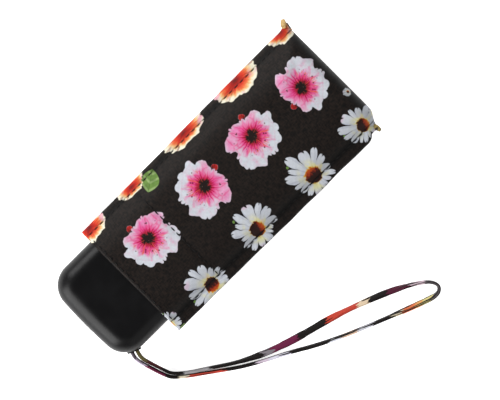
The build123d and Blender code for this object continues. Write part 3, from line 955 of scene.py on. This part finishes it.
def make_sleeve():
    """The sleeve, from one strip of cloth folded over the umbrella's top."""
    columns = round((left_tip - right_tip) / column_pitch)
    cloths = {}
    mesh = bmesh.new()
    bmesh.ops.create_grid(mesh, x_segments=sleeve_rows, y_segments=columns, size=1.0)
    thickness_share = mesh.verts.layers.deform.verify()
    for vert in mesh.verts:
        strip = round(vert.co.x * sleeve_rows / 2) / (sleeve_rows / 2)
        column = right_tip + round((vert.co.y + 1) / 2 * columns) * column_pitch
        vert.co, cloths[vert] = sleeve_point(strip, column)
        # the third value says which face of the sleeve a point is on
        cloths[vert].resize_3d()
        cloths[vert].z = 0.0 if strip <= 0 else 1.0
    front_faces = {f for f in mesh.faces if sum(cloths[v].z for v in f.verts) < 2}
    flat = {vert: cloths[vert].to_2d() for vert in mesh.verts}
    paint_flowers(
        mesh, flat, lambda face: front_flowers if face in front_faces else back_flowers, painted_groove_shade_at
    )
    for vert, flat_point in flat.items():
        in_panel = smooth((flat_point.y - right_seam) / 1.5) * smooth((left_seam - flat_point.y) / 1.5)
        vert[thickness_share][0] = mix(0.36, 1.0, smooth((hem_line - flat_point.x) / 1.5) * in_panel)
    edge = [v for v in mesh.verts if v.is_boundary]
    bmesh.ops.remove_doubles(mesh, verts=edge, dist=0.05 * MM)
    bmesh.ops.recalc_face_normals(mesh, faces=mesh.faces)
    piece = finish_piece(mesh, "sleeve_cloth", sleeve_print, "sleeve")
    piece.vertex_groups.new(name="hem")
    solid = piece.modifiers.new("cloth_thickness", "SOLIDIFY")
    solid.thickness = 0.85 * MM
    solid.offset = -1.0
    solid.vertex_group = "hem"
    solid.thickness_vertex_group = 0.0
    return piece


sleeve_piece = make_sleeve()
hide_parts("sleeve")


def crumple(piece):
    """Give the piece a mesh of its own, shared with no other piece."""
    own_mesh(piece)


# ---- stitches and ears of the sleeve -----------------------------------------


def add_stitch(mesh, middle, along, up, length, thickness):
    """One short, round-ended stitch lying along a seam."""
    along = along.normalized()
    side = along.cross(up).normalized()
    up = side.cross(along)
    turn = Matrix((along, side, up)).transposed().to_4x4()
    size = Matrix.Diagonal((length / 2 * MM, thickness / 2 * MM, thickness / 2 * MM, 1.0))
    bmesh.ops.create_uvsphere(
        mesh, u_segments=6, v_segments=4, radius=1.0, matrix=Matrix.Translation(middle) @ turn @ size
    )


def strip_at(station):
    """Where a station of the front lies on the sleeve's strip."""
    return (station - sleeve_mouth) / (fold_start - sleeve_mouth + rounded_end) - 1


def make_stitches():
    """The rows of stitches: both side seams, the mouth's hem and the line beyond."""
    mesh = bmesh.new()
    rows = []
    for column in (left_seam - 0.4, right_seam + 0.4):
        for face_side in (-1, 1):
            count = round((fold_start - sleeve_mouth - 3) / stitch_pitch)
            stations = [sleeve_mouth + 2.5 + stitch_pitch * step for step in range(count)]
            rows += [(face_side, s - stitch_reach, column, s + stitch_reach, column) for s in stations]
    for station in (sleeve_mouth + 1.3, hem_line):
        for face_side in (-1, 1):
            count = round((left_seam - right_seam - 3) / stitch_pitch)
            columns = [right_seam + 2.0 + stitch_pitch * step for step in range(count)]
            rows += [(face_side, station, c - stitch_reach, station, c + stitch_reach) for c in columns]
    for face_side, from_station, from_column, to_station, to_column in rows:
        ends = [
            sleeve_point(strip_at(station) * -face_side, column)[0]
            for station, column in ((from_station, from_column), (to_station, to_column))
        ]
        middle = (ends[0] + ends[1]) / 2
        up = Vector((0, 0, 1)) if face_side < 0 else (middle - place(90, 0, axis_height)) * Vector((0, 1, 1))
        up = up.normalized()
        lifted = middle + up * stitch_lift * MM
        add_stitch(mesh, lifted, ends[1] - ends[0], up, stitch_length, stitch_thickness)
    return finish_piece(mesh, "sleeve_stitches", black_thread, "sleeve")


def make_ear(name, tip, root, width, thickness, shades):
    """A turned corner of the sleeve that stands out of a seam's end."""
    mesh = bmesh.new()
    bmesh.ops.create_cube(mesh, size=1.0)
    bmesh.ops.subdivide_edges(mesh, edges=mesh.edges, cuts=3, use_grid_fill=True)
    along = tip - root
    turn = along.to_track_quat("X", "Z").to_matrix().to_4x4()
    for vert in mesh.verts:
        share = vert.co.x + 0.5
        bulge = 0.62 + 0.38 * math.sin(math.pi * min(share * 1.15, 1.0))
        vert.co.y *= width * MM * bulge
        vert.co.z *= thickness * MM * bulge
        vert.co.x = share * along.length
        vert.co.z += 0.25 * MM * math.sin(share * 5.0)
    bmesh.ops.transform(mesh, matrix=Matrix.Translation(root) @ turn, verts=mesh.verts)
    bmesh.ops.smooth_vert(
        mesh, verts=mesh.verts, factor=0.5, use_axis_x=True, use_axis_y=True, use_axis_z=True
    )
    material, tree, shader = new_material(name + "_print", Roughness=0.6, Specular_IOR_Level=0.3)
    where = tree.add("ShaderNodeTexCoord").outputs["Object"]
    blotches = tree.step(tree.noise(where, 420.0, 2.0), 0.42, 0.58)
    tree.join(tree.colour(blotches, *shades), shader.inputs["Base Color"])
    add_bump(tree, shader, tree.noise(where, 1800.0, 2.0), 0.3, 0.0001)
    ear = finish_piece(mesh, name, material, "sleeve")
    rounding = ear.modifiers.new("rounding", "SUBSURF")
    rounding.levels = rounding.render_levels = 2
    return ear


sleeve_stitches = make_stitches()
left_ear = make_ear(
    "sleeve_left_ear",
    place(153.5, 33.0, 17.2),
    place(151.0, 29.8, 18.4),
    2.8,
    2.5,
    ((0.62, 0.42, 0.17), (0.22, 0.13, 0.04)),
)
right_ear = make_ear(
    "sleeve_right_ear",
    place(149.4, -30.9, 17.0),
    place(148.8, -27.0, 18.6),
    2.4,
    2.3,
    ((0.40, 0.30, 0.10), (0.03, 0.02, 0.01)),
)
for soft_part in (sleeve_piece, sleeve_stitches, left_ear, right_ear):
    crumple(soft_part)

# ---- canopy and its tie ------------------------------------------------------

canopy_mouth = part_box("canopy")[0].x / MM - handle_end
canopy_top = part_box("canopy")[1].x / MM - handle_end
bundle_half_width = 24.6
bundle_half_height = 11.2
bundle_power = 3.0
pleats = 7
pleat_step = 0.8
pleat_slant = 0.011
lap_end = 0.96
canopy_rows = 96
wrap_count = 200
fine_turns = 2000
canopy_thickness = 0.9
tie_middle = (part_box("tie_strap")[0].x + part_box("tie_strap")[1].x) / 2 / MM - handle_end
tie_width = 14.0
tie_start_turn = 0.30
tie_turns = 1.10
tie_steps = 190
tie_rows = 10
tie_lift = 0.75
snap_turn = 0.345
snap_lift = 2.1


def bundle_point(turn, station, out=0.0):
    """A point on the folded canopy's outside: turn runs once round it, anticlockwise
    seen from the handle. Each pleat laps over the next one, on a slant."""
    closing = smooth((canopy_top - station) / 9.0) ** 0.5
    closing = mix(0.30, 1.0, closing)
    lap = (turn * pleats + (station - canopy_mouth) * pleat_slant) % 1.0
    folds = pleat_step * (lap if lap < lap_end else (1 - lap) / 0.04)
    cosine = math.cos(turn * math.tau)
    sine = math.sin(turn * math.tau)
    soft = 0.30 * fold_noise(cosine * 2.2, sine * 2.2 + station * 0.03, 6.6)
    squeeze = -0.35 * bell(station - tie_middle, 9.0)
    swell = out + (folds + soft + squeeze - pleat_step) * (0.35 + 0.65 * closing)
    power = 2 / bundle_power
    across = (bundle_half_width * closing + swell) * squared_off(cosine, power)
    height = (bundle_half_height * closing + swell) * squared_off(sine, power)
    return place(station, across, axis_height + height)


def even_turns(count):
    """Turns at even distances round the bundle's section, and its girth in mm."""
    fine = [step / fine_turns for step in range(fine_turns + 1)]
    lengths = running_lengths([bundle_point(turn, tie_middle) for turn in fine])
    turns = []
    at = 0
    for step in range(count):
        while lengths[at + 1] < lengths[-1] * step / count:
            at += 1
        turns.append(fine[at])
    return turns, lengths[-1] / MM


wrap_turns, wrap_length = even_turns(wrap_count)


def make_canopy():
    """The folded canopy: one outer wrap of lapping pleats round the frame."""
    mesh = bmesh.new()
    start = bmesh.ops.create_circle(mesh, segments=wrap_count, radius=1.0)["verts"]
    cloths = {vert: (turn, 0) for vert, turn in zip(start, wrap_turns)}
    ring = list(mesh.edges)
    for row in range(1, canopy_rows + 1):
        grown = bmesh.ops.extrude_edge_only(mesh, edges=ring)["geom"]
        fresh = [item for item in grown if isinstance(item, bmesh.types.BMVert)]
        fresh_set = set(fresh)
        edges = [item for item in grown if isinstance(item, bmesh.types.BMEdge)]
        ring = [edge for edge in edges if fresh_set.issuperset(edge.verts)]
        for vert in fresh:
            near = [edge.other_vert(vert) for edge in vert.link_edges]
            below = next(other for other in near if other not in fresh_set)
            cloths[vert] = (cloths[below][0], row)
    for vert, (turn, row) in cloths.items():
        hem = 1.2 * abs(math.sin(turn * math.pi * pleats)) if row == 0 else 0.0
        station = mix(canopy_mouth + 0.2, canopy_top, row / canopy_rows) + hem
        vert.co = bundle_point(turn, station)
    flat = {
        vert: Vector((mix(canopy_mouth, canopy_top, row / canopy_rows), (turn - 0.5) * wrap_length))
        for vert, (turn, row) in cloths.items()
    }
    paint_flowers(mesh, flat, lambda face: canopy_flowers, girth=wrap_length)
    bmesh.ops.recalc_face_normals(mesh, faces=mesh.faces)
    piece = finish_piece(mesh, "canopy_cloth", canopy_print, "top")
    solid = piece.modifiers.new("folded_layers", "SOLIDIFY")
    solid.thickness = canopy_thickness * MM
    solid.offset = -1.0
    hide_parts("canopy")
    return piece


def make_tie():
    """The tie round the folded canopy, lapped over itself on the upper face."""
    mesh = bmesh.new()
    bmesh.ops.create_grid(mesh, x_segments=tie_steps, y_segments=tie_rows, size=1.0)
    flat = {}
    for vert in mesh.verts:
        share = (vert.co.x + 1) / 2
        side = vert.co.y
        turn = tie_start_turn + share * tie_turns
        lift = tie_lift + tie_lift * smooth((share - 0.86) / 0.05)
        end_rounding = (max(share - 0.965, 0.0) / 0.035) ** 2
        width = tie_width * (1 - 0.45 * end_rounding)
        edge_roll = 0.15 * abs(side) ** 6
        spot_on_wrap = bundle_point(turn % 1.0, tie_middle)
        beside = bundle_point((turn + 0.004) % 1.0, tie_middle, 0.0)
        level = (spot_on_wrap - place(tie_middle, 0, axis_height)) * Vector((0, 1, 1))
        outward = (beside - spot_on_wrap).cross(Vector((-1, 0, 0)))
        outward = outward.normalized() if outward.dot(level) > 0 else -outward.normalized()
        height = (lift + edge_roll) * MM
        vert.co = spot_on_wrap + outward * height + Vector((side * width / 2 * MM, 0, 0))
        flat[vert] = Vector((tie_middle + side * width / 2, turn * wrap_length))
    paint_flowers(mesh, flat, lambda face: tie_flowers)
    bmesh.ops.recalc_face_normals(mesh, faces=mesh.faces)
    piece = finish_piece(mesh, "tie_strap_cloth", canopy_print, "top")
    smoothing = piece.modifiers.new("evening", "SMOOTH")
    smoothing.iterations = 12
    smoothing.factor = 0.5
    solid = piece.modifiers.new("doubled_cloth", "SOLIDIFY")
    solid.thickness = 0.6 * MM
    solid.offset = 0.0
    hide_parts("tie_strap")
    return piece


canopy_print = printed_cloth("canopy_print")
canopy_flowers = [
    Flower(
        (BLOSSOM, DAISY, POPPY, DAISY)[(row + column) % 4],
        43 + 31.5 * column + 9 * (row % 2),
        -62 + 21 * row,
        13.5,
        70 * row + 50 * column,
        (row + column) % 2 == 0,
        0.13 * row + 0.05 * column,
    )
    for row in range(7)
    for column in range(4)
]
tie_flowers = [
    Flower(DAISY, tie_middle + 3, 12.0 * step, 7.0, 40 * step, False, 0.1 * step) for step in range(14)
]
canopy_piece = make_canopy()
tie_piece = make_tie()


def make_snap():
    """The press stud that closes the tie, a shallow rolled cap of steel."""
    mesh = bmesh.new()
    middle = bundle_point(snap_turn, tie_middle, snap_lift)
    outward = (middle - place(tie_middle, 0, axis_height)) * Vector((0, 0.35, 1))
    # the cap's radius and height, from its middle out and back under it
    profile = [(0.0, 0.55), (2.2, 0.50), (2.9, 0.62), (3.4, 0.50), (3.6, 0.15), (3.6, -0.3), (0.0, -0.3)]
    start = [mesh.verts.new((x * MM, 0, z * MM)) for x, z in profile]
    edges = [mesh.edges.new(pair) for pair in zip(start, start[1:])]
    bmesh.ops.spin(
        mesh, geom=start + edges, cent=(0, 0, 0), axis=(0, 0, 1), angle=math.tau, steps=36, use_merge=True
    )
    bmesh.ops.remove_doubles(mesh, verts=mesh.verts, dist=0.02 * MM)
    turn = outward.to_track_quat("Z", "X").to_matrix().to_4x4()
    bmesh.ops.transform(mesh, matrix=Matrix.Translation(middle) @ turn, verts=mesh.verts)
    bmesh.ops.recalc_face_normals(mesh, faces=mesh.faces)
    return finish_piece(mesh, "tie_snap", rivet_steel, "top")


tie_snap = make_snap()
for soft_part in (canopy_piece, tie_piece, tie_snap):
    crumple(soft_part)

# ---- floor and light ---------------------------------------------------------

floor_drop = 0.0002
floor_glow_plain = 0.45
floor_glow_seen = 0.33
world_plain = 0.20
world_seen = 0.80

floor_mesh = bmesh.new()
bmesh.ops.create_grid(floor_mesh, x_segments=1, y_segments=1, size=2.0)
floor_data = bpy.data.meshes.new("floor")
floor_mesh.to_mesh(floor_data)
floor_mesh.free()
floor = bpy.data.objects.new("floor", floor_data)
bpy.context.scene.collection.objects.link(floor)
floor.location.z = -floor_drop
floor_material, floor_tree, floor_shader = new_material(
    "white_paper",
    Roughness=0.9,
    Base_Color=(0.95, 0.95, 0.95, 1.0),
    Emission_Color=(1.0, 1.0, 1.0, 1.0),
)
# the floor glows a little more to the camera than it does as a light
floor_seen = floor_tree.add("ShaderNodeLightPath").outputs["Is Camera Ray"]
floor_glow = floor_tree.scaled(floor_seen, floor_glow_seen, floor_glow_plain)
floor_tree.join(floor_glow, floor_shader.inputs["Emission Strength"])
floor_data.materials.append(floor_material)


def area_light(name, location, size, power, target):
    """A square soft light at a point, facing a target."""
    data = bpy.data.lights.new(name, "AREA")
    data.shape = "SQUARE"
    data.size = size
    data.energy = power
    light = bpy.data.objects.new(name, data)
    bpy.context.scene.collection.objects.link(light)
    light.location = location
    light.rotation_euler = (Vector(target) - Vector(location)).to_track_quat("-Z", "Y").to_euler()


umbrella_middle = (0.0, 0.0, 0.015)
area_light("key", (-0.80, 0.12, 0.42), 0.80, 12.0, umbrella_middle)
area_light("left_side", (0.10, 0.85, 0.60), 0.60, 7.4, umbrella_middle)
area_light("right_side", (-0.10, -0.85, 0.62), 0.90, 1.6, umbrella_middle)
area_light("far_end", (0.85, 0.0, 0.65), 0.70, 1.8, umbrella_middle)

world = bpy.data.worlds.new("studio")
world.use_nodes = True
world_tree = Tree(world.node_tree)
background = world.node_tree.nodes["Background"]
background.inputs["Color"].default_value = (1.0, 1.0, 1.0, 1.0)
seen_directly = world_tree.add("ShaderNodeLightPath").outputs["Is Camera Ray"]
strength = world_tree.scaled(seen_directly, world_seen, world_plain)
world_tree.join(strength, background.inputs["Strength"])
bpy.context.scene.world = world
bpy.context.scene.view_settings.view_transform = "Standard"

# ---- wrist strap -------------------------------------------------------------

# The strap's route from the handle out and back: station, across and height.
strap_route = [
    (7.71, -23.73, 12.0), (6.56, -26.5, 12.0), (7.45, -30.6, 8.8), (8.60, -34.8, 5.4),
    (9.60, -38.2, 2.7), (10.9, -41.9, 1.7), (16.9, -46.8, 1.7), (23.3, -50.9, 1.7),
    (29.7, -55.3, 1.7), (36.2, -59.3, 1.7), (45.3, -63.9, 1.7), (56.2, -67.9, 1.7),
    (66.0, -70.7, 1.7), (74.5, -72.8, 1.7), (83.7, -75.7, 1.7), (94.1, -79.6, 1.7),
    (102.8, -83.2, 1.7), (109.4, -86.5, 1.7), (115.2, -89.9, 1.7), (119.2, -93.4, 1.7),
    (120.3, -96.9, 1.7), (117.7, -99.0, 1.7), (113.4, -98.1, 1.7), (106.1, -95.4, 1.7),
    (96.4, -91.6, 1.7), (87.5, -88.0, 1.7), (74.8, -82.7, 1.7), (63.3, -77.0, 1.7),
    (54.2, -71.6, 1.7), (43.5, -66.2, 1.7), (34.4, -61.0, 1.7), (28.6, -56.9, 1.7),
    (22.4, -52.5, 1.7), (16.0, -48.0, 1.7), (9.60, -43.0, 1.7), (7.95, -38.8, 2.7),
    (6.85, -35.1, 5.4), (5.70, -30.8, 8.8), (4.44, -25.6, 12.0), (5.59, -22.85, 12.0),
]
strap_length = 0.295
tape_width = 3.3
tape_thickness = 1.5
strap_turn = math.tau / (2 * (tape_width + tape_thickness))
strap_black_side = math.radians(200)
strap_corners = 10

# How far the tape leans from standing on its edge, in degrees, by mm along it.
strap_leans = [
    (0, 10), (16, 0), (48, 12), (64, 52), (78, 78), (92, 66), (104, 30), (114, 40), (124, 52), (132, 20),
    (146, 0), (155, 38), (164, 34), (176, 12), (205, 16), (232, 8), (300, 5),
]

# Colours along the strap: where each starts, in mm from the handle, and its
# # colour. All are print but the grey band from 26.5 mm, a painted highlight.
strap_bands = [
    (0, (0.15, 0.125, 0.04)), (5.6, (0.09, 0.010, 0.012)), (14.5, STRAP_BLACK),
    # the grey band from 26.5 mm is a painted highlight on black tape
    (26.5, (0.30, 0.29, 0.30)), (37, STRAP_BLACK), (62, (0.20, 0.18, 0.20)),
    (66.7, (0.13, 0.012, 0.05)), (79.4, STRAP_BLACK), (92.7, (0.46, 0.045, 0.025)),
    (108.2, (0.66, 0.52, 0.36)), (113.1, STRAP_BLACK), (122.1, (0.07, 0.008, 0.025)),
    (132.1, (0.60, 0.46, 0.52)), (139.4, (0.07, 0.06, 0.065)), (152.7, (0.66, 0.58, 0.24)),
    (157.5, (0.74, 0.36, 0.12)), (160.4, (0.66, 0.16, 0.06)), (166.2, (0.70, 0.60, 0.42)),
    (171.5, STRAP_BLACK), (179.2, (0.62, 0.62, 0.68)), (187.6, (0.66, 0.46, 0.34)),
    (194.4, (0.68, 0.68, 0.74)), (200.3, STRAP_BLACK), (217.9, (0.66, 0.64, 0.74)),
    (228.5, (0.60, 0.50, 0.60)), (233.5, STRAP_BLACK), (247.8, (0.50, 0.05, 0.03)),
    (264.1, (0.64, 0.56, 0.42)), (268.1, STRAP_BLACK), (274.0, (0.16, 0.012, 0.05)),
    (286.0, (0.50, 0.42, 0.54)), (291.9, (0.12, 0.10, 0.12)),
]


def strap_material():
    """Printed cloth folded into a narrow tape: bands of the print's colours, and one band of painted
    highlight.
    """
    material, tree, shader = new_material(
        "strap_print", Sheen_Weight=0.03, Specular_IOR_Level=0.12, Roughness=0.6
    )
    tape = tree.add("ShaderNodeUVMap", uv_map="tape").outputs["UV"]
    parts = tree.add("ShaderNodeSeparateXYZ", {0: tape})
    stretched = tree.combine(tree.times(parts.outputs[0], 0.12), parts.outputs[1])
    ragged = tree.noise(stretched, 0.9, 2.0)
    shifted = tree.scaled(ragged, 9.0, tree.less(parts.outputs[0], 4.5))
    share = tree.sum("DIVIDE", shifted, strap_length / MM)
    stops = [(start / (strap_length / MM), shade) for start, shade in strap_bands]
    bands = tree.ramp(share, stops, "CONSTANT")
    # the fold's edge shows the black ground as long thin streaks
    along = tree.combine(tree.times(parts.outputs[0], 0.055), parts.outputs[1], 3.7)
    one_side = tree.sum("SINE", tree.scaled(parts.outputs[1], strap_turn, strap_black_side))
    streaks = tree.scaled(one_side, 0.10, tree.noise(along, 1.15, 1.5))
    shade = tree.colour(tree.step(streaks, 0.51, 0.55), bands, STRAP_BLACK)
    tree.join(shade, shader.inputs["Base Color"])
    weave = tree.add("ShaderNodeGroup", {"Pitch": 0.45}, node_tree=plain_weave)
    tree.join(tape, weave.inputs["Cloth"])
    add_bump(tree, shader, weave.outputs["Height"], 0.4, 0.0001)
    return material


def line_of(route):
    """The points along the smooth line that has the route as its control points."""
    curve = bpy.data.curves.new("strap_line", "CURVE")
    curve.dimensions = "3D"
    curve.resolution_u = 10
    spline = curve.splines.new("NURBS")
    spline.points.add(len(route) - 1)
    for point, spot_on_route in zip(spline.points, route):
        point.co = (*place(*spot_on_route), 1.0)
    spline.order_u = 3
    spline.use_endpoint_u = True
    holder = bpy.data.objects.new("strap_line", curve)
    line = bpy.data.meshes.new_from_object(holder)
    points = [v.co.copy() for v in line.vertices]
    bpy.data.meshes.remove(line)
    bpy.data.objects.remove(holder)
    return points


def tape_turn(length):
    """How far the tape leans at a length along it, in degrees."""
    for (before, first), (after, second) in zip(strap_leans, strap_leans[1:]):
        if length <= after:
            return mix(first, second, smooth((length - before) / (after - before)))
    return 0.0


def make_strap():
    """The wrist strap: a folded tape swept along its line, leaning here and there."""
    line = line_of(strap_route)
    half_width = tape_width / 2 * MM
    half_thick = tape_thickness / 2 * MM
    corners = strap_corners
    turns = [math.tau * step / corners for step in range(corners)]
    outline = [
        (squared_off(math.cos(turn), 0.55) * half_width, squared_off(math.sin(turn), 0.7) * half_thick)
        for turn in turns
    ]
    mesh = bmesh.new()
    tape = mesh.loops.layers.uv.new("tape")
    rings = []
    stations = [length / MM for length in running_lengths(line)]
    for index, (point, station) in enumerate(zip(line, stations)):
        ahead = line[min(index + 1, len(line) - 1)] - line[max(index - 1, 0)]
        ahead.normalize()
        side = ahead.cross(Vector((0, 0, 1))).normalized()
        up = side.cross(ahead)
        lean = math.radians(tape_turn(station) * (-1 if index > len(line) / 2 else 1))
        wide = up * math.cos(lean) + side * math.sin(lean)
        thick = wide.cross(ahead)
        pinch = 1 + 0.10 * fold_noise(station * 0.35, 0.0, 4.4)
        resting = abs(math.cos(lean)) * half_width * pinch + abs(math.sin(lean)) * half_thick
        on_surface = smooth((3.0 * MM - point.z) / (1.2 * MM))
        middle = Vector((point.x, point.y, mix(max(point.z, resting), resting, on_surface)))
        rings.append([mesh.verts.new(middle + wide * (w * pinch) + thick * t) for w, t in outline])
    for row in range(len(rings) - 1):
        for corner in range(corners):
            beside = (corner + 1) % corners
            face = mesh.faces.new(
                (rings[row][corner], rings[row][beside], rings[row + 1][beside], rings[row + 1][corner])
            )
            steps = (corner, corner + 1, corner + 1, corner)
            rows = (row, row, row + 1, row + 1)
            for loop, step, at in zip(face.loops, steps, rows):
                loop[tape].uv = (stations[at], step * (tape_width + tape_thickness) * 2 / corners)
    mesh.faces.new(rings[0][::-1])
    mesh.faces.new(rings[-1])
    bmesh.ops.recalc_face_normals(mesh, faces=mesh.faces)
    piece = finish_piece(mesh, "wrist_strap_tape", strap_material(), "root")
    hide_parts("wrist_strap")
    return piece


make_strap()
